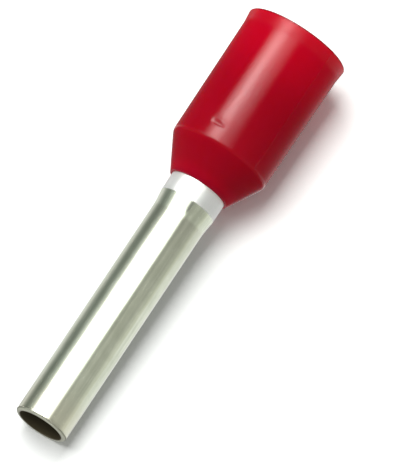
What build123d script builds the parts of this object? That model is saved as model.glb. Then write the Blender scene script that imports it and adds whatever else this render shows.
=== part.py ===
from build123d import *
import os

# Wire ferrule: a tinned copper crimp tube pressed into a moulded insulating collar.
# Lengths are in millimetres. The ferrule stands on the collar's open mouth, with +Z
# along its axis towards the crimp tube's open mouth.

# Whole ferrule
overall_length = 14.0

# Crimp tube, drawn from thin copper tube
tube_bore_radius = 0.70
tube_wall = 0.15
tube_edge_round = 0.03
mouth_curl = 0.03
mouth_curl_length = 0.14
mouth_curl_sweep = 0.60
mouth_trim = 0.05
neck_growth = 0.05
neck_taper_length = 0.42
neck_taper_sweep = 2.40
neck_length = 0.60
neck_break_round = 0.12
funnel_bend_round = 0.30
funnel_rim_inset = 0.05

# Insulating collar, moulded in one piece
collar_length = 5.43
collar_bore_radius = 1.35
collar_wall = 0.24
body_draft = 0.026
cone_length = 1.18
lip_wall = 0.075
throat_length = 0.38
rim_flare = 0.042
rim_length = 0.50
rim_blend = 2.0
entry_flare = 0.05
entry_length = 0.40
shoulder_round = 0.60
lip_round = 0.03
rim_round = 0.05
bore_corner_round = 0.20

# Radii and heights that follow from the sizes above
tube_radius = tube_bore_radius + tube_wall
neck_radius = tube_radius + neck_growth
lip_radius = neck_radius + lip_wall
shoulder_radius = collar_bore_radius + collar_wall
body_radius = shoulder_radius + body_draft
shoulder_height = collar_length - cone_length
cone_slope = (shoulder_radius - lip_radius) / cone_length
bend_height = collar_length - throat_length


def height_on_cone(radius):
    """Height at which the seat between the funnel and the collar has this radius."""
    return bend_height - (radius - neck_radius) / cone_slope


def turned(profile):
    """Solid of revolution of a (radius, height) profile about the ferrule's axis."""
    return revolve(Plane.XZ * profile, axis=Axis.Z)


def tube_outside():
    """Outside line of the crimp tube, from just past its cut mouth down to the funnel's rim."""
    neck_start = collar_length + neck_length
    rim_radius = collar_bore_radius - funnel_rim_inset
    points = [
        (tube_radius + mouth_curl, overall_length + mouth_trim),
        (tube_radius, overall_length - mouth_curl_length),
        (tube_radius, neck_start + neck_taper_length),
        (neck_radius, neck_start),
        (neck_radius, bend_height),
        (rim_radius, height_on_cone(rim_radius)),
    ]
    rounds = [mouth_curl_sweep, neck_taper_sweep, neck_break_round, funnel_bend_round]
    return FilletPolyline(*points, radius=rounds)


def make_crimp_tube():
    """Even wall inside the outside line, cut flat at the mouth, with both ends' edges eased."""
    cut = Plane(origin=(0, overall_length), z_dir=(0, 1, 0))
    wall = make_face(offset(tube_outside(), amount=tube_wall, side=Side.RIGHT))
    wall = split(wall, bisect_by=cut, keep=Keep.BOTTOM)
    wall = fillet(wall.vertices().sort_by(Axis.Y)[-2:], radius=tube_edge_round)
    wall = chamfer(wall.vertices().sort_by(Axis.Y)[:2], length=tube_edge_round)
    return turned(wall)


def make_insulating_collar():
    """Sleeve with a flared mouth, a shoulder, a cone and a lip that grips the tube's neck."""
    points = [
        (collar_bore_radius + entry_flare, 0),
        (body_radius + rim_flare, 0),
        (body_radius, rim_length),
        (shoulder_radius, shoulder_height),
        (lip_radius, collar_length),
        (neck_radius, collar_length),
        (neck_radius, bend_height),
        (collar_bore_radius, height_on_cone(collar_bore_radius)),
        (collar_bore_radius, entry_length),
    ]
    rounds = [
        rim_round,
        rim_round,
        rim_blend,
        shoulder_round,
        lip_round,
        0,
        funnel_bend_round,
        bore_corner_round,
        rim_blend,
    ]
    return turned(make_face(FilletPolyline(*points, radius=rounds, close=True)))


parts = {
    "crimp_tube": make_crimp_tube(),
    "insulating_collar": make_insulating_collar(),
}

os.makedirs("parts", exist_ok=True)
for node, solid in parts.items():
    solid.label = node
    export_step(solid, f"parts/{node}.step")
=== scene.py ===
# %% [markdown]
# # A wire ferrule, dressed for a close-up
#
# A wire ferrule is a small crimp sleeve for the stripped end of a flexible wire. This one is
# 14 mm long and has two pieces: a tin-plated copper tube that takes the strands, and a red
# plastic collar that takes the insulation. This script loads the solids as a fixed frame,
# makes a finer lathe mesh for each piece and gives it its finish, then sets up the camera, a
# table and the light.

# %% Load the frame
import math

import bpy
from mathutils import Matrix, Vector, noise


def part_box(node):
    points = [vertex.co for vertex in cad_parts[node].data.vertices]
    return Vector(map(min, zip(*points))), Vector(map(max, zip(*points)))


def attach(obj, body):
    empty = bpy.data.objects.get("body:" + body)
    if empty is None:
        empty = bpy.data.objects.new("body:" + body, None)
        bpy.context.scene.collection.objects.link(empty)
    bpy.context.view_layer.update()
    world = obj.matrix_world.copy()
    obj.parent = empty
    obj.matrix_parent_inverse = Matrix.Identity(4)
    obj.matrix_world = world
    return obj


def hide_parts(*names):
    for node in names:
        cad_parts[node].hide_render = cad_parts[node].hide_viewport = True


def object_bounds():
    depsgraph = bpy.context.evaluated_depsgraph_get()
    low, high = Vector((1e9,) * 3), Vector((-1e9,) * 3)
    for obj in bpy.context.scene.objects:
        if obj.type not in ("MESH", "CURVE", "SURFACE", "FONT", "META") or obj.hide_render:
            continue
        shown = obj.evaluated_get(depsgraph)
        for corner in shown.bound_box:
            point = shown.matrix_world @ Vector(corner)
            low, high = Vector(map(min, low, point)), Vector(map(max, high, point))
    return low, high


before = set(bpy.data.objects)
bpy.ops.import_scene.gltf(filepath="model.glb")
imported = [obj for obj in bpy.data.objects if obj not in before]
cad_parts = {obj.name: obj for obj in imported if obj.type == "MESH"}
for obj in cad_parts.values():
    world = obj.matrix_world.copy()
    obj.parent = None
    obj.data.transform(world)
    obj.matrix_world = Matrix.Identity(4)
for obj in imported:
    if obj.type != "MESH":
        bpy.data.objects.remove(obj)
cad_low, cad_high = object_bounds()
mm = 0.001
print("solid box in mm", [round(side / mm, 3) for side in cad_high - cad_low])

# %% [markdown]
# ## Outlines with round corners
#
# Both pieces are turned shapes, so each is one outline of radius and height, spun about the
# axis. A bevel modifier could round the corners, but it knows nothing of the true radius at
# each one. Here every corner has a radius of its own, and becomes an arc that touches both
# sides. The arc also gives the exact direction that the surface faces, which matters on a
# polished tube: the eye reads it by its reflections. Long straight runs are cut into short
# ones, so that small marks can be pressed into them later.

# %% Round the corners of an outline
arc_step = math.radians(6)
fewest_arc_steps = 2


def rounded_outline(corners, longest):
    """Points and outward normals along a closed outline of (radius, height, rounding) corners."""
    arcs = []
    for place, (radius, height, rounding) in enumerate(corners):
        corner = Vector((radius, height))
        before = (corner - Vector(corners[place - 1][:2])).normalized()
        after = (Vector(corners[(place + 1) % len(corners)][:2]) - corner).normalized()
        turn = math.atan2(before.x * after.y - before.y * after.x, before.dot(after))
        outward = Vector((before.y, -before.x))
        bulge = math.copysign(rounding, turn)
        centre = corner - before * rounding * math.tan(abs(turn) / 2) - outward * bulge
        steps = max(fewest_arc_steps, math.ceil(abs(turn) / arc_step))
        normals = [Matrix.Rotation(turn * step / steps, 2) @ outward for step in range(steps + 1)]
        arcs.append([(centre + normal * bulge, normal) for normal in normals])
    points = []
    for arc, following in zip(arcs, arcs[1:] + arcs[:1]):
        points += arc
        end, normal = arc[-1]
        run = following[0][0] - end
        cuts = math.ceil(run.length / longest)
        points += [(end + run * cut / cuts, normal) for cut in range(1, cuts)]
    return points


example_square = [(2, 0, 0.25), (3, 0, 0.25), (3, 1, 0.25), (2, 1, 0.25)]
print("a rounded square has", len(rounded_outline(example_square, longest=1)), "points")

# %% [markdown]
# ## Spin an outline into a piece
#
# The screw modifier could spin the outline too. Writing the rings out costs a few lines more
# and leaves room for the small faults of a real part, such as an uneven cut edge or a mark
# from the mould. They are given as a function that moves a point in or out, and its slope
# tilts the normals, so the faults catch the light as real ones do. The slope is measured by
# asking the function again at a place a tiny nudge away.

# %% Spin an outline
steps_round = 360
nudge = 0.002 * mm


def spun_piece(name, outline, fault, drop):
    """A closed mesh of revolution. fault(angle, height) moves a point outwards, drop down."""
    rows = len(outline)
    vertices = []
    normals = []
    for step in range(steps_round):
        angle = 2 * math.pi * step / steps_round
        outward = Vector((math.cos(angle), math.sin(angle), 0))
        sideways = Vector((-math.sin(angle), math.cos(angle), 0))
        for point, normal in outline:
            moved = fault(angle, point.y)
            slope_up = (fault(angle, point.y + nudge) - moved) / nudge
            slope_round = (fault(angle + nudge / point.x, point.y) - moved) / nudge
            height = point.y - drop(angle, point.y)
            vertices.append(outward * (point.x + moved) + Vector((0, 0, height)))
            upward = Vector((0, 0, normal.y - normal.x * slope_up))
            tilted = (outward - sideways * slope_round) * normal.x + upward
            normals.append(tilted.normalized())
    faces = []
    for step in range(steps_round):
        here = step * rows
        there = (step + 1) % steps_round * rows
        for row in range(rows):
            following = (row + 1) % rows
            faces.append((here + row, there + row, there + following, here + following))
    mesh = bpy.data.meshes.new(name)
    mesh.from_pydata(vertices, [], faces)
    mesh.shade_smooth()
    mesh.normals_split_custom_set_from_vertices(normals)
    piece = bpy.data.objects.new(name, mesh)
    bpy.context.scene.collection.objects.link(piece)
    print(name, "has", len(faces), "faces, and its mesh is valid:", not mesh.validate())
    return piece


print("a spun piece is made in steps of", 360 / steps_round, "degree")

# %% [markdown]
# ## Sizes that both pieces share
#
# The overall length and the collar's length come from the frame. The others are the ferrule's
# own sizes: the bore and wall of the tube, the neck, and the collar's wall, cone and throat.
# The funnel at the hidden end of the tube rests on a conical seat inside the collar, so both
# outlines ask the same function how high that seat is.

# %% Shared sizes
total_length = cad_high.z
collar_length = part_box("insulating_collar")[1].z
tube_bore = 0.70 * mm
tube_wall = 0.15 * mm
neck_growth = 0.05 * mm
collar_bore = 1.35 * mm
collar_wall = 0.24 * mm
lip_wall = 0.075 * mm
cone_length = 1.18 * mm
throat_length = 0.38 * mm
bend_round = 0.30 * mm
tube_radius = tube_bore + tube_wall
neck_radius = tube_radius + neck_growth
lip_radius = neck_radius + lip_wall
shoulder_radius = collar_bore + collar_wall
cone_slope = (shoulder_radius - lip_radius) / cone_length
cone_angle = math.atan(cone_slope)
bend_height = collar_length - throat_length


def height_on_cone(radius):
    """Height at which the funnel's seat in the collar has this radius."""
    return bend_height - (radius - neck_radius) / cone_slope


print("half-angle of the cone in degrees", round(math.degrees(cone_angle), 1))

# %% [markdown]
# ## The crimp tube
#
# The tube is drawn from copper and has the same thin wall all along. Its outside goes straight
# down from the mouth, widens a little at the neck and opens into the funnel that sits inside
# the collar. The inside line is the same line moved in by the wall. A solidify modifier could
# add that wall, but the two edges of the mouth are rounded differently, so both lines are
# written out.

# %% Outline of the crimp tube
mouth_curl = 0.006 * mm
mouth_curl_length = 0.16 * mm
mouth_curl_round = 0.6 * mm
outer_edge_round = 0.085 * mm
inner_edge_round = 0.025 * mm
neck_length = 0.60 * mm
taper_length = 0.42 * mm
outer_taper_round = 2.4 * mm
inner_taper_round = 2.5 * mm
outer_break_round = 0.12 * mm
inner_break_round = 0.02 * mm
funnel_rim_inset = 0.05 * mm
funnel_rim_round = 0.02 * mm
tube_longest_run = 0.15 * mm
curl_start = total_length - mouth_curl_length
neck_top = collar_length + neck_length
taper_top = neck_top + taper_length
inner_bend = bend_height - tube_wall * math.tan(cone_angle / 2)
funnel_rim = collar_bore - funnel_rim_inset
rim_outside = Vector((funnel_rim, height_on_cone(funnel_rim)))
rim_inside = rim_outside - Vector((math.cos(cone_angle), math.sin(cone_angle))) * tube_wall
tube_corners = [
    (tube_radius + mouth_curl, total_length, outer_edge_round),
    (tube_bore + mouth_curl, total_length, inner_edge_round),
    (tube_bore, curl_start, mouth_curl_round),
    (tube_bore, taper_top, inner_taper_round),
    (tube_bore + neck_growth, neck_top, inner_break_round),
    (tube_bore + neck_growth, inner_bend, bend_round + tube_wall),
    (rim_inside.x, rim_inside.y, funnel_rim_round),
    (rim_outside.x, rim_outside.y, funnel_rim_round),
    (neck_radius, bend_height, bend_round),
    (neck_radius, neck_top, outer_break_round),
    (tube_radius, taper_top, outer_taper_round),
    (tube_radius, curl_start, mouth_curl_round),
]
tube_outline = rounded_outline(tube_corners, tube_longest_run)
print("the crimp tube's outline has", len(tube_outline), "points")

# %% [markdown]
# ## What cutting and drawing leave on the tube
#
# A rolling cutter parts the tube from a long one. It leaves the edge uneven, with a burr where
# it broke through, and cuts a little out of square. Drawing and handling leave faint waves in
# the thin wall, which only the reflections show. A displacement texture could do it, but plain
# noise over the angle and the height closes round the tube without a seam.

# %% Faults of the crimp tube
edge_unevenness = 0.003 * mm
edge_patches = 2.3
burr_angle = math.radians(-20)
burr_height = 0.004 * mm
burr_narrowness = 6
low_side = math.radians(270)
out_of_square = 0.028 * mm
slant_reach = 1.5 * mm
wave_height = 0.0010 * mm
wave_length = 0.9 * mm
wave_patches = 1.6


def skin_noise(angle, patches, along):
    """Noise between -1 and 1 that closes round the axis. More patches make it finer."""
    return noise.noise(Vector((math.cos(angle) * patches, math.sin(angle) * patches, along)))


def cut_edge_fault(angle, height):
    """The cutter leaves an uneven edge, with a burr where it broke through."""
    nearness = max(0, 1 - (total_length - height) / mouth_curl_length)
    uneven = edge_unevenness * skin_noise(angle, edge_patches, edge_patches / 2)
    burr = burr_height * max(0, math.cos(angle - burr_angle)) ** burr_narrowness
    return nearness ** 2 * (uneven + burr)


def cut_edge_drop(angle, height):
    """The cut is lower on one side, and only the last stretch of the tube follows it."""
    nearness = max(0, 1 - (total_length - height) / slant_reach)
    return nearness * out_of_square * (1 + math.cos(angle - low_side))


def tube_fault(angle, height):
    """The cut edge, and the faint waves in the thin wall."""
    wave = wave_height * skin_noise(angle, wave_patches, height / wave_length)
    return cut_edge_fault(angle, height) + wave


crimp_tube = spun_piece("crimp_tube_tinned", tube_outline, tube_fault, cut_edge_drop)
print("its cut is out of square by", round(2 * out_of_square / mm, 3), "mm")

# %% [markdown]
# ## The insulating collar
#
# The collar is one moulding. Its sleeve flares very slightly at the mouth and narrows towards
# the shoulder, so that it leaves the mould, and the cone closes on the tube's neck with a thin
# lip. Inside, a conical seat takes the tube's funnel, and the bore opens a little at the mouth
# to lead the wire's insulation in. The runs of this outline are short, because the mesh has to
# be fine enough for the small nick that follows.

# %% Outline of the insulating collar
body_draft = 0.026 * mm
shoulder_drop = 1.12 * mm
shoulder_round = 0.30 * mm
lip_round = 0.03 * mm
throat_edge_round = 0.005 * mm
seat_round = 0.20 * mm
rim_flare = 0.042 * mm
rim_length = 0.40 * mm
rim_blend = 1.6 * mm
rim_edge_round = 0.05 * mm
entry_flare = 0.05 * mm
entry_length = 0.40 * mm
entry_blend = 2.0 * mm
collar_longest_run = 0.055 * mm
body_radius = shoulder_radius + body_draft
shoulder_height = collar_length - shoulder_drop
collar_corners = [
    (collar_bore + entry_flare, 0, rim_edge_round),
    (body_radius + rim_flare, 0, rim_edge_round),
    (body_radius, rim_length, rim_blend),
    (shoulder_radius, shoulder_height, shoulder_round),
    (lip_radius, collar_length, lip_round),
    (neck_radius, collar_length, throat_edge_round),
    (neck_radius, bend_height, bend_round),
    (collar_bore, height_on_cone(collar_bore), seat_round),
    (collar_bore, entry_length, entry_blend),
]
collar_outline = rounded_outline(collar_corners, collar_longest_run)
print("the collar's outline has", len(collar_outline), "points")

# %% [markdown]
# ## What the mould leaves on the collar
#
# Plastic shrinks unevenly as it cools, so the skin sinks by a micron or so here and there.
# Where the two halves of the mould met, a fine seam runs down each side of the sleeve and
# fades out at the shoulder. One small nick in the sleeve, near the shoulder, is left from
# handling. It is steep on the side of the cone and easy on the other. A bump in the material
# could show it, but pressed into the mesh it catches the highlight as a real dent does.

# %% Faults of the insulating collar
sink_depth = 0.0015 * mm
sink_patches = 1.7
sink_length = 2 * mm
seam_angles = (math.radians(-130), math.radians(50))
seam_height = 0.011 * mm
seam_width = 0.036 * mm
seam_fade = 0.3 * mm
nick_angle = math.radians(-68)
nick_height = 3.82 * mm
nick_depth = 0.030 * mm
nick_reach = 0.21 * mm
nick_lean = 0.12
nick_steep_side = 0.045 * mm
nick_easy_side = 0.10 * mm


def distance_round(angle, place):
    """How far round the collar's skin an angle is from a place, either way."""
    return ((angle - place + math.pi) % (2 * math.pi) - math.pi) * body_radius


def moulding_fault(angle, height):
    """Uneven cooling, two fine seams and one small nick in the collar's skin."""
    moved = sink_depth * skin_noise(angle, sink_patches, sink_patches * height / sink_length)
    on_body = min(1, max(0, (shoulder_height - height) / seam_fade))
    for seam_angle in seam_angles:
        nearness = math.exp(-(distance_round(angle, seam_angle) / seam_width) ** 2)
        moved += seam_height * on_body * nearness
    across = distance_round(angle, nick_angle)
    along = height - nick_height + nick_lean * across
    width = nick_steep_side if along > 0 else nick_easy_side
    moved -= nick_depth * math.exp(-((along / width) ** 2 + (across / nick_reach) ** 4))
    return moved


def square_end(angle, height):
    """The collar's ends are square, so nothing is moved down."""
    return 0


insulating_collar = spun_piece(
    "insulating_collar_moulded", collar_outline, moulding_fault, square_end
)

# %% [markdown]
# ## Shader maths as plain expressions
#
# A material is a tree of nodes. Wiring each Math node by hand hides what is worked out, so a
# small class wraps an output and lets Python's own operators add the nodes.


# %% A wrapped socket
class Socket:
    """One output in a node tree. Maths on it adds Math nodes."""

    def __init__(self, tree, socket=None):
        self.tree = tree
        self.socket = socket

    def node(self, kind, settings, inputs, output=0):
        """Any node: its settings first, then the values or links of its sockets."""
        made = self.tree.nodes.new("ShaderNode" + kind)
        for name, value in settings.items():
            setattr(made, name, value)
        for name, value in inputs.items():
            if isinstance(value, Socket):
                self.tree.links.new(value.socket, made.inputs[name])
            else:
                made.inputs[name].default_value = value
        return Socket(self.tree, made.outputs[output])

    def maths(self, operation, first, second=0.0):
        """One Math node on two values or sockets."""
        return self.node("Math", {"operation": operation}, {0: first, 1: second})

    def __add__(self, other):
        return self.maths("ADD", self, other)

    def __radd__(self, other):
        return self.maths("ADD", other, self)

    def __sub__(self, other):
        return self.maths("SUBTRACT", self, other)

    def __rsub__(self, other):
        return self.maths("SUBTRACT", other, self)

    def __mul__(self, other):
        return self.maths("MULTIPLY", self, other)

    def __rmul__(self, other):
        return self.maths("MULTIPLY", other, self)

    def step(self, low, high):
        """0 at low, 1 at high and smooth between."""
        inputs = {"Value": self, "From Min": low, "From Max": high}
        return self.node("MapRange", {"interpolation_type": "SMOOTHSTEP"}, inputs)

    def blend(self, first, second):
        """The first colour where this value is 0, and the second where it is 1."""
        return self.node("Mix", {"data_type": "RGBA"}, {0: self, 6: first, 7: second}, 2)


print("a wrapped socket also has", ", ".join(name for name in vars(Socket) if name[0] != "_"))

# %% [markdown]
# ## Start and end of every material
#
# Each finish starts from an empty tree with one output node, and most of them ask where on
# its piece a point lies. Object coordinates give that place in metres from the ferrule's
# origin, so grain and edges keep their real size and need no unwrapped map.


# %% Helpers for materials
def new_material(name):
    """An empty material, its output node and a Socket to start expressions from."""
    material = bpy.data.materials.new(name)
    material.use_nodes = True
    material.node_tree.nodes.clear()
    output = material.node_tree.nodes.new("ShaderNodeOutputMaterial")
    return material, output, Socket(material.node_tree)


def finish_with(material, output, shader):
    """Link the shader to the output and hand the material back."""
    material.node_tree.links.new(shader.socket, output.inputs["Surface"])
    print(material.name, "has", len(material.node_tree.nodes), "nodes")
    return material


def place_and_height(start):
    """A point's place on its piece, and its height on the axis."""
    place = start.node("TexCoord", {}, {}, "Object")
    return place, start.node("SeparateXYZ", {}, {0: place}, "Z")


# %% [markdown]
# ## Bright tin on copper
#
# Electroplated tin is a soft, bright metal with a faint warm cast. Drawing leaves fine lines
# along the tube, handling leaves a soft mottle, and the die that widened the neck has scuffed
# it to a satin finish, which is given a painted near-white sheen, whiter than the tin. The cutter
# sheared the edge of the mouth, which is a little duller than the wall, and the bore is given a
# dull, dark colour, a painted shade inside the tube. A picture of worn metal could give all of
# this, but it would blur in a close-up. Position on the piece drives it instead: noise stretched
# along the axis for the lines, even noise for the mottle, and the height and radius for the
# neck, the cut edge and the bore.

# %% Grain and places of the tin
noise_detail = 3.0
line_width = 0.12 * mm
line_length = 3.5 * mm
mottle_size = 0.5 * mm
mottle_detail = 4.0
mottle_roughness = 0.6
lip_edge = (collar_length - 0.05 * mm, collar_length + 0.02 * mm)
neck_edge = (neck_top - 0.03 * mm, neck_top + 0.03 * mm)
bore_edge = (tube_bore + 0.015 * mm, tube_bore + 0.04 * mm)
bore_depth = (taper_top, taper_top + 1 * mm)
sheared_edge = (total_length - 0.17 * mm, total_length - 0.09 * mm)
tarnished_end = (total_length - 1.6 * mm, total_length - 0.3 * mm)
print("lines per turn of the tube", round(2 * math.pi * tube_radius / line_width))

# %% Colours and dullness of the tin
shaded_tin = (0.57, 0.610, 0.485, 1)
light_tin = (0.725, 0.768, 0.635, 1)
tarnish = (0.66, 0.635, 0.50, 1)
tarnish_share = 0.5
line_share = 0.6
shade_range = (0.3, 0.7)
# The frost colours are a painted sheen on the satin neck, whiter than the tin.
frost_painted_sheen_dim = (0.90, 0.95, 0.90, 1)
frost_painted_sheen_bright = (0.97, 0.99, 0.97, 1)
# The bore's dark colour is painted shade inside the tube.
painted_bore_shade = (0.13, 0.11, 0.06, 1)
polished = 0.07
line_dullness = 0.08
mottle_dullness = 0.05
scuffed_dullness = 0.27
bore_dullness = 0.4
sheared_dullness = 0.20
scuffed_haze = 0.42
# The bore also loses its metal, which deepens its painted shade.
bore_metallic_cut = 0.6
tin_relief = 0.004 * mm
relief_strength = 0.2
relief_line_share = 0.7
print("roughness of the tin from", polished, "to about", round(polished + bore_dullness, 2))


# %% Tin finish
def tin_finish():
    """Lined bright tin, with a satin neck in a painted near-white sheen, a duller cut edge and a bore
    in painted dark shade.
    """
    material, output, start = new_material("bright_tin")
    place, height = place_and_height(start)
    flat = start.node("VectorMath", {"operation": "MULTIPLY"}, {0: place, 1: (1, 1, 0)})
    radius = start.node("VectorMath", {"operation": "LENGTH"}, {0: flat}, "Value")
    stretch = {"Vector": place, "Scale": (1 / line_width, 1 / line_width, 1 / line_length)}
    lines_place = start.node("Mapping", {"vector_type": "POINT"}, stretch)
    fine = {"Vector": lines_place, "Scale": 1.0, "Detail": noise_detail}
    lines = start.node("TexNoise", {}, fine)
    spread = {"Vector": place, "Scale": 1 / mottle_size, "Detail": mottle_detail}
    mottle = start.node("TexNoise", {}, spread | {"Roughness": mottle_roughness})
    scuffed = height.step(*lip_edge) * (1 - height.step(*neck_edge))
    in_bore = (1 - radius.step(*bore_edge)) * height.step(*bore_depth)
    sheared = (1 - in_bore) * height.step(*sheared_edge)
    dulled = scuffed_dullness * scuffed + bore_dullness * in_bore + sheared_dullness * sheared
    shade = (line_share * lines + (1 - line_share) * mottle).step(*shade_range)
    tin = shade.blend(shaded_tin, light_tin)
    warmer = (tarnish_share * height.step(*tarnished_end)).blend(tin, tarnish)
    # The neck's satin scuff gets a painted near-white sheen, and the bore a painted dark shade.
    frost_and_painted_sheen = scuffed.blend(warmer, shade.blend(frost_painted_sheen_dim, frost_painted_sheen_bright))
    ridges = relief_line_share * lines + (1 - relief_line_share) * mottle
    relief = {"Strength": relief_strength, "Distance": tin_relief, "Height": ridges}
    sockets = {
        "Base Color": in_bore.blend(frost_and_painted_sheen, painted_bore_shade),
        "Metallic": 1 - bore_metallic_cut * in_bore - scuffed_haze * scuffed,
        "Roughness": polished + line_dullness * lines + mottle_dullness * mottle + dulled,
        "Normal": start.node("Bump", {}, relief),
    }
    return finish_with(material, output, start.node("BsdfPrincipled", {}, sockets))


crimp_tube.data.materials.append(tin_finish())

# %% [markdown]
# ## Glossy red plastic
#
# The collar is polypropylene, a slightly milky plastic with a smooth moulded skin. Light
# enters it, so it is brighter where the wall is thin and open to the light, at the mouth and
# at the lip, and deeper where the tube's funnel sits behind it. True subsurface light alone
# is weak at this size, so this glow is also painted into the colour, as a painted glow that
# follows the height. The end face of the mouth looks away from the lamp, and its shade is
# painted in as a darker red.

# %% Places and colours of the plastic
# Where the painted glow lies, at the mouth and at the lip, and the band of painted shade at the end
# face.
painted_mouth_glow_end = 3.2 * mm
painted_lip_glow_zone = (collar_length - 0.55 * mm, collar_length)
painted_shade_band = (0.03 * mm, 0.07 * mm)
cone_start = (4.20 * mm, 4.95 * mm)
rim_end = (0.10 * mm, 0.65 * mm)
cloud_size = 0.9 * mm
skin_grain = 0.10 * mm
skin_relief = 0.003 * mm
skin_strength = 0.04
# The bright red is a painted glow, and the edge red with its share is a painted shade.
deep_red = (0.415, 0.0010, 0.0130, 1)
painted_glow_red = (0.575, 0.001, 0.018, 1)
painted_shade_red = (0.10, 0.001, 0.012, 1)
painted_shade_share = 0.75
print("the glow at the mouth ends", round(painted_mouth_glow_end / mm, 1), "mm up")

# %% Gloss and milkiness of the plastic
# The lip's share is how strongly its painted glow shows.
painted_lip_glow_share = 0.8
cloud_share = 0.25
cloud_offset = 0.12
moulded_gloss = 0.07
cloud_dullness = 0.08
cone_dullness = 0.12
rim_dullness = 0.10
sheen_level = 0.14
milkiness = 0.80
light_reach = (1.2 * mm, 0.08 * mm, 0.08 * mm)
print("red light reaches", round(light_reach[0] / mm, 2), "mm into the plastic")


# %% Plastic finish
def plastic_finish():
    """Glossy red with a painted glow at the mouth and the lip, and painted shade on the end face."""
    material, output, start = new_material("red_polypropylene")
    place, height = place_and_height(start)
    clouds = {"Vector": place, "Scale": 1 / cloud_size, "Detail": noise_detail}
    soft = start.node("TexNoise", {}, clouds)
    # Painted glow: brighter red towards the mouth and at the lip. Painted shade: a darker end face.
    painted_mouth_glow = 1 - height.step(0.0, painted_mouth_glow_end)
    painted_lip_glow = height.step(*painted_lip_glow_zone)
    glow = painted_mouth_glow + painted_lip_glow_share * painted_lip_glow + cloud_share * soft - cloud_offset
    lit = glow.step(0.0, 1.0)
    red = lit.blend(deep_red, painted_glow_red)
    painted_rim_shade = 1 - height.step(*painted_shade_band)
    on_cone = height.step(*cone_start)
    on_rim = 1 - height.step(*rim_end)
    roughness = moulded_gloss + cloud_dullness * soft + cone_dullness * on_cone + rim_dullness * on_rim
    grain = {"Vector": place, "Scale": 1 / skin_grain, "Detail": noise_detail}
    skin = start.node("TexNoise", {}, grain)
    relief = {"Strength": skin_strength, "Distance": skin_relief, "Height": skin}
    sockets = {
        "Base Color": (painted_shade_share * painted_rim_shade).blend(red, painted_shade_red),
        "Roughness": roughness,
        "Specular IOR Level": sheen_level,
        "Subsurface Weight": milkiness,
        "Subsurface Radius": light_reach,
        "Subsurface Scale": 1.0,
        "Normal": start.node("Bump", {}, relief),
    }
    return finish_with(material, output, start.node("BsdfPrincipled", {}, sockets))


insulating_collar.data.materials.append(plastic_finish())

# %% [markdown]
# ## Hand the pieces to the frame
#
# Each lathe mesh stands for the solid that it refines, and rides on the same body. The name of
# the part's material slot that it carries is only listed and printed.

# %% Ride and replace
dressed = [
    (crimp_tube, "crimp_tube", "tinned_copper"),
    (insulating_collar, "insulating_collar", "red_plastic"),
]
for piece, node, slot in dressed:
    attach(piece, "root")
    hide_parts(node)
    print(piece.name, "stands for", node, "in", slot)

# %% [markdown]
# ## Camera
#
# The ferrule lies on a white table and the camera looks down on it with a long lens, so the
# picture is nearly free of perspective. Two pixels fix the view: where the centre of the
# tube's mouth and that of the collar's mouth fall in a frame of 400 by 467. The third fact is
# how far the axis leans out of the picture, which the mouth's narrow ellipse gives. Turning
# the camera by hand until it fits would work too, but from these facts its place follows at
# once. The part stays upright on its axis, and the camera is rolled instead.

# %% What the picture gives
frame_width = 400
frame_height = 467
tube_mouth_pixel = Vector((40.6, 425.35))
collar_mouth_pixel = Vector((297.8, 39.85))
lean = math.radians(14.0)

axis_in_picture = tube_mouth_pixel - collar_mouth_pixel
pixel_size = total_length * math.cos(lean) / axis_in_picture.length
down_axis = axis_in_picture.normalized()
middle_pixel = (tube_mouth_pixel + collar_mouth_pixel) / 2
off_centre = middle_pixel - Vector((frame_width / 2, frame_height / 2))
print("pixel size in mm", round(pixel_size / mm, 5))

# %% Place the camera
camera_distance = 300 * mm
sensor_size = 36
nearest_seen = 1 * mm
farthest_seen = 10

level_right = Vector((1, 0, 0))
level_up = Vector((0, math.sin(lean), math.cos(lean)))
backwards = Vector((0, -math.cos(lean), math.sin(lean)))
right = level_right * -down_axis.y + level_up * down_axis.x
up = level_right * -down_axis.x + level_up * -down_axis.y
middle = Vector((0, 0, total_length / 2))
target = middle - right * off_centre.x * pixel_size + up * off_centre.y * pixel_size

camera_data = bpy.data.cameras.new("camera")
camera_data.sensor_width = sensor_size
camera_data.lens = sensor_size * camera_distance / (frame_height * pixel_size)
camera_data.clip_start = nearest_seen
camera_data.clip_end = farthest_seen
camera = bpy.data.objects.new("camera", camera_data)
bpy.context.scene.collection.objects.link(camera)
camera.location = target + backwards * camera_distance
camera.rotation_euler = Matrix((right, up, backwards)).transposed().to_euler()
bpy.context.scene.camera = camera
print("lens in mm", round(camera_data.lens))

# %% [markdown]
# ## Where the ferrule lies
#
# The tube outweighs the collar, so the ferrule lies on the shoulder of its collar and on the
# lip of its tube, and the collar's mouth hangs free. The shoulder's contact is the point of the
# collar's outline that stands out most from the lip. The ferrule stays where the frame has it,
# and the table is laid against it. The table faces a little to one side of the camera, so that
# the shadow falls as in the picture.

# %% Where it touches the table
table_side = math.radians(11.2)
toward_table = Vector((-math.sin(table_side), math.cos(table_side), 0))
lip = Vector((tube_radius + mouth_curl, total_length))


def slope_from_lip(point):
    """How steeply the line from the tube's lip to a point of the collar's outline rises."""
    return (point.x - lip.x) / (lip.y - point.y)


shoulder = max((point for point, normal in collar_outline), key=slope_from_lip)
shoulder_contact = toward_table * shoulder.x + Vector((0, 0, shoulder.y))
lip_contact = toward_table * lip.x + Vector((0, 0, lip.y))
print("the shoulder rests", round(shoulder.y / mm, 2), "mm above the collar's mouth")

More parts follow.
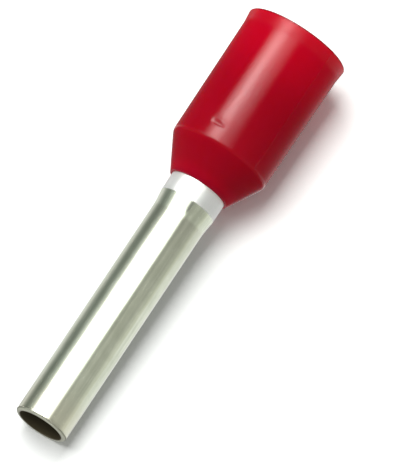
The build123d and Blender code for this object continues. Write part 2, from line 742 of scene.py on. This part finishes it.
# %% Table plane
table_reach = 120 * mm
table_along = (lip_contact - shoulder_contact).normalized()
table_across = table_along.cross(toward_table).normalized()
table_up = table_along.cross(table_across)
if table_up.dot(toward_table) > 0:
    table_up.negate()
table_middle = (shoulder_contact + lip_contact) / 2
table_corners = [(-1, -1), (1, -1), (1, 1), (-1, 1)]
table_points = [
    table_middle + table_reach * (table_along * part_along + table_across * part_across)
    for part_along, part_across in table_corners
]
table_mesh = bpy.data.meshes.new("table")
table_mesh.from_pydata(table_points, [], [(0, 1, 2, 3)])
if table_mesh.polygons[0].normal.dot(table_up) < 0:
    table_mesh.flip_normals()
table = bpy.data.objects.new("table", table_mesh)
bpy.context.scene.collection.objects.link(table)
print("table leans", round(math.degrees(math.asin(table_up.z)), 2), "degrees against the axis")

# %% [markdown]
# ## White table
#
# In a product picture a white table is lit until it burns out and only the shadow is left.
# More light would do it here too, but it would also reach the ferrule. So the camera alone
# sees a whiter table, and all other rays see plain white paper. The table is shown from its
# front only, so that a look from behind still finds the ferrule.

# %% Table finish
white_paper = 0.90
burnt_out_white = 1.50
burnt_out_green = 1.02 * burnt_out_white


def table_finish():
    """White paper that the camera sees burnt out, clear from behind."""
    material, output, start = new_material("white_table")
    camera_ray = start.node("LightPath", {}, {}, "Is Camera Ray")
    paper = start.node("BsdfDiffuse", {}, {"Color": (white_paper, white_paper, white_paper, 1)})
    burnt_colour = (burnt_out_white, burnt_out_green, burnt_out_white, 1)
    burnt = start.node("BsdfDiffuse", {}, {"Color": burnt_colour})
    front = start.node("MixShader", {}, {0: camera_ray, 1: paper, 2: burnt})
    clear = start.node("BsdfTransparent", {}, {})
    behind = start.node("NewGeometry", {}, {}, "Backfacing")
    one_sided = start.node("MixShader", {}, {0: behind, 1: front, 2: clear})
    return finish_with(material, output, one_sided)


table_mesh.materials.append(table_finish())
table.visible_glossy = False
table.visible_shadow = False

# %% [markdown]
# ## A light tent for the reflections
#
# A polished tube is a mirror rolled up: round its axis it shows everything that stands around
# it, squeezed into bands. So a metal object is lit by building what it should reflect. The
# tent is a cylinder of cards about the axis, and only reflections see it. Going round, its
# brightness follows stops: the softbox with its hot centre, the grey room on one side, a dark
# gap on the other and the white table behind. An HDR panorama could stand in for the tent, but
# each band would be hard to place.
#
# The camera stands 14 degrees above level, square to the axis, so a wall that runs along the
# axis mirrors the tent 14 degrees below level. The tent is near, so the collar at the lower
# end of the ferrule mirrors a lower ring of it than the tube does, and each ring has cards of
# its own.

# %% Cards that the straight walls mirror
ring_border = -14.9
ring_bottom = -45.0
lower_card = 0.60
tube_ring = [
    (-180, 0.15), (-176, 0.20), (-171, 1.0), (-132, 0.80), (-116, 0.42), (-102, 0.26),
    (-91, 0.28), (-80, 0.46), (-70, 0.80), (-63, 1.4), (-58, 3.0), (-52, 4.0), (-38, 7),
    (-32, 7), (-18, 4.5), (0, 3.2), (11, 2.4), (15, 0.9), (20, 0.50), (30, 0.57), (45, 0.59),
    (62, 0.52), (75, 0.62), (90, 0.80), (106, 0.98), (130, 1.0), (170, 1.0),
    (174, 0.3), (180, 0.3),
]
collar_ring = [
    (-180, 0.10), (-169, 0.12), (-150, 0.10), (-130, 0.05), (-110, 0.05), (-62, 0.05),
    (-57, 0.8), (-51, 4.6), (-44, 9.5), (-38, 15), (-31, 15.5), (-25, 11), (-18, 6.8),
    (-6, 3.3), (2, 1.6), (7, 0.4), (12, 0.07), (80, 0.07), (100, 0.10), (130, 0.21),
    (150, 0.28), (162, 0.14), (180, 0.10),
]
ring_gains = [(-45.0, 1.30), (-24.0, 1.50), (-17.5, 1.62), (-15.1, 2.2)]
print("the tube's ring has", len(tube_ring), "stops, and the collar's", len(collar_ring))

# %% [markdown]
# ## Cards above the rings
#
# Sloping surfaces mirror what stands higher. The taper above the neck and the rounded edges
# show the middle and upper cards. The cone mirrors one curved line across them, where a dark
# gap keeps its red deep. The flared mouth of the collar mirrors a band inside the tube's ring,
# so the collar's ring is repeated there, and each card keeps the brighter of the two.

# %% Cards that the slopes and edges mirror
middle_top = 8.0
middle_cards = [
    (-180, 0.15), (-150, 0.12), (-130, 0.15), (-95, 0.20), (-62, 0.15),
    (12, 0.30), (95, 0.35), (120, 0.70), (150, 0.80), (168, 0.25), (180, 0.25),
]
upper_cards = [
    (-180, 0.36), (-174, 0.60), (-120, 0.62), (-62, 0.60), (12, 0.50), (95, 0.42),
    (120, 0.50), (150, 0.56), (174, 0.56), (180, 0.36),
]
ring_fade = 3.0
ring_tops = [
    (-180, -9.8), (-150, -9.8), (-120, -4.0), (-90, 0.0), (-64, 2.0), (-62, 6.0), (-30, 4.0),
    (-10, 0.0), (0, -5.0), (9, -9.0), (14, -9.0), (20, 1.0), (60, 1.0), (112, -1.0),
    (130, -6.0), (150, -9.8), (180, -9.8),
]
dark_gap = 0.15
gap_reach = 7.0
gap_rises = [
    (-180, -12), (-153, 0), (-120, 15), (-94, 25), (-65, 33), (0, 41), (65, 33), (94, 25),
    (120, 15), (153, 0), (180, -12),
]
flare_gains = [(-14.9, 0.6), (-10.0, 0.7), (-8.0, 1.7), (-2.5, 1.7), (1.0, 0.0)]
print("the dark gap is highest at", max(rise for side, rise in gap_rises), "degrees")

# %% [markdown]
# ## From stops to the brightness of a card
#
# The stops are joined by straight lines, as in a colour ramp. Ramps in the tent's material
# could do the same, but the rings change with height too, and their borders are easier to read
# in a few lines of Python that work out each card.


# %% Brightness of a card
def between(stops, place):
    """Value at a place on a line of (place, value) stops."""
    for (low, first), (high, second) in zip(stops, stops[1:]):
        if place <= high:
            share = max(0.0, (place - low) / (high - low))
            return first + (second - first) * share
    return stops[-1][1]


def tent_brightness(side, rise):
    """Brightness of a card, side degrees round from the camera and rise degrees above level."""
    if rise < ring_bottom:
        return lower_card
    if rise < ring_border:
        return between(collar_ring, side) * between(ring_gains, rise)
    above = between(middle_cards if rise < middle_top else upper_cards, side)
    if abs(rise - between(gap_rises, side)) < gap_reach:
        above = dark_gap
    in_ring = between(tube_ring, side)
    share = min(1.0, max(0.0, (rise - between(ring_tops, side)) / ring_fade))
    tube_card = in_ring + (above - in_ring) * share
    flare_card = between(collar_ring, side) * between(flare_gains, rise)
    return max(tube_card, flare_card)


print("the card in front of the ferrule has brightness", round(tent_brightness(0, 0), 2))

# %% [markdown]
# ## Tint of the cards
#
# A room isn't quite grey, and a mirror shows its casts. The tube picks up a green one on its
# left and a straw-coloured one on its right, and the collar's highlight is warm. They are
# slight, so the tint is a colour that the brightness is multiplied by.

# %% Tint of a card
ring_warmths = [(-45.0, 1.05), (-18.0, 1.05), (-15.1, 1.35)]
ring_blue = 0.98
green_sides = (-115, -72)
green_tint = (0.96, 1.03, 0.99)
straw_sides = (14, 100)
straw_tint = (1.0, 1.0, 0.94)
plain_tint = (1.0, 1.0, 1.0)


def tent_tint(side, rise):
    """Colour cast of a card: a warm ring for the plastic, a green side and a straw side."""
    if ring_bottom < rise < ring_border:
        return (between(ring_warmths, rise), 1.0, ring_blue)
    if green_sides[0] < side < green_sides[1]:
        return green_tint
    if straw_sides[0] < side < straw_sides[1]:
        return straw_tint
    return plain_tint


print("and its tint is", tent_tint(0, 0))

# %% [markdown]
# ## The tent's mesh
#
# The cards are the faces of one open cylinder, each a degree wide. Their rows are a degree
# apart where the slopes look, closer at the border of the rings and wider where little is
# seen. Each corner stores its colour in the mesh, and the cards blend it across their faces.

# %% Build the tent
tent_radius = 100 * mm
tent_sides = range(-180, 181)
tent_rises = [-60, -46, -44, -32, -26, -23, -20, -18, -17, -16, -15.1, -14.7]
tent_rises += [step - 13.5 for step in range(64)]
tent_rises += [54, 60, 68, 76]
tent_points = []
tent_colours = []
for side in tent_sides:
    for rise in tent_rises:
        turn = math.radians(side)
        spot = Vector((-math.sin(turn), -math.cos(turn), math.tan(math.radians(rise))))
        tent_points.append(middle + spot * tent_radius)
        shine = tent_brightness(side, rise)
        tent_colours += [shine * part for part in tent_tint(side, rise)] + [1.0]
tent_faces = []
rises = len(tent_rises)
for column in range(len(tent_sides) - 1):
    for row in range(rises - 1):
        first = column * rises + row
        tent_faces.append((first, first + 1, first + rises + 1, first + rises))
tent_mesh = bpy.data.meshes.new("light_tent")
tent_mesh.from_pydata(tent_points, [], tent_faces)
colour_layer = tent_mesh.attributes.new("card_colour", "FLOAT_COLOR", "POINT")
colour_layer.data.foreach_set("color", tent_colours)
tent = bpy.data.objects.new("light_tent", tent_mesh)
bpy.context.scene.collection.objects.link(tent)
print("tent has", len(tent_faces), "cards, the brightest", round(max(tent_colours), 1))

# %% [markdown]
# ## Glowing cards
#
# A card only glows, and its colour is read from the mesh. The tube would also mirror the
# bright cards on to the table, as glints that the soft light of such a picture doesn't make.
# So for light on its way to a matt surface every card is the plain grey of the surroundings.

# %% Tent finish
ambient_level = 0.24


def tent_finish():
    """Cards that glow in their own colour, and in grey for light that falls on matt things."""
    material, output, start = new_material("tent_cards")
    card = start.node("Attribute", {"attribute_name": "card_colour"}, {}, "Color")
    falls_on_matt = start.node("LightPath", {}, {}, "Diffuse Depth").step(0.0, 1.0)
    surround_grey = (ambient_level, ambient_level, ambient_level, 1)
    colour = falls_on_matt.blend(card, surround_grey)
    glow = start.node("Emission", {}, {"Color": colour, "Strength": 1.0})
    material.cycles.emission_sampling = "NONE"
    return finish_with(material, output, glow)


tent_mesh.materials.append(tent_finish())
tent.visible_camera = False
tent.visible_diffuse = False
tent.visible_shadow = False
tent.visible_transmission = False

# %% [markdown]
# ## One soft lamp
#
# The shading itself comes from one large soft lamp over the ferrule, on its upper left in the
# picture, with the lamp's long side along it. A sun lamp would be simpler, but this shadow
# softens quickly as it leaves the ferrule, as that of a near lamp does. The lamp's power is
# worked out from how bright a matt white card that faces it should be: pi for the lamp's
# spread, pi for the card's, and the square of the distance. Reflections see the tent's softbox
# instead of the lamp.

# %% Softbox
softbox_side = math.radians(-28)
softbox_rise = math.radians(-11)
softbox_distance = 120 * mm
softbox_width = 76 * mm
softbox_length = 115 * mm
softbox_level = 0.90
toward_softbox = Vector((
    -math.sin(softbox_side) * math.cos(softbox_rise),
    -math.cos(softbox_side) * math.cos(softbox_rise),
    math.sin(softbox_rise),
))
softbox_data = bpy.data.lights.new("softbox", "AREA")
softbox_data.shape = "RECTANGLE"
softbox_data.size = softbox_width
softbox_data.size_y = softbox_length
softbox_data.energy = softbox_level * math.pi ** 2 * softbox_distance ** 2
softbox = bpy.data.objects.new("softbox", softbox_data)
bpy.context.scene.collection.objects.link(softbox)
softbox.location = middle + toward_softbox * softbox_distance
softbox.rotation_euler = toward_softbox.to_track_quat("Z", "Y").to_euler()
softbox.visible_glossy = False
print("softbox power in watts", round(softbox_data.energy, 3))

# %% [markdown]
# ## White surroundings
#
# An even surround fills the shadows with a little light. The camera and the reflections see it
# as plain white, as the picture's background is, and only the light that it gives is kept low.

# %% World
world = bpy.data.worlds.new("surround")
bpy.context.scene.world = world
world.use_nodes = True
world.node_tree.nodes.clear()
sky = Socket(world.node_tree)
seen = sky.node("LightPath", {}, {}, "Is Camera Ray")
mirrored = sky.node("LightPath", {}, {}, "Is Glossy Ray")
through = sky.node("LightPath", {}, {}, "Is Transmission Ray")
shown = (seen + mirrored + through).step(0.0, 1.0)
strength = shown * (1 - ambient_level) + ambient_level
surround = sky.node("Background", {}, {"Color": (1, 1, 1, 1), "Strength": strength})
world_output = world.node_tree.nodes.new("ShaderNodeOutputWorld")
world.node_tree.links.new(surround.socket, world_output.inputs["Surface"])
bpy.context.scene.view_settings.view_transform = "Standard"
print("the surround lights at", ambient_level, "and is seen at 1")

# %% [markdown]
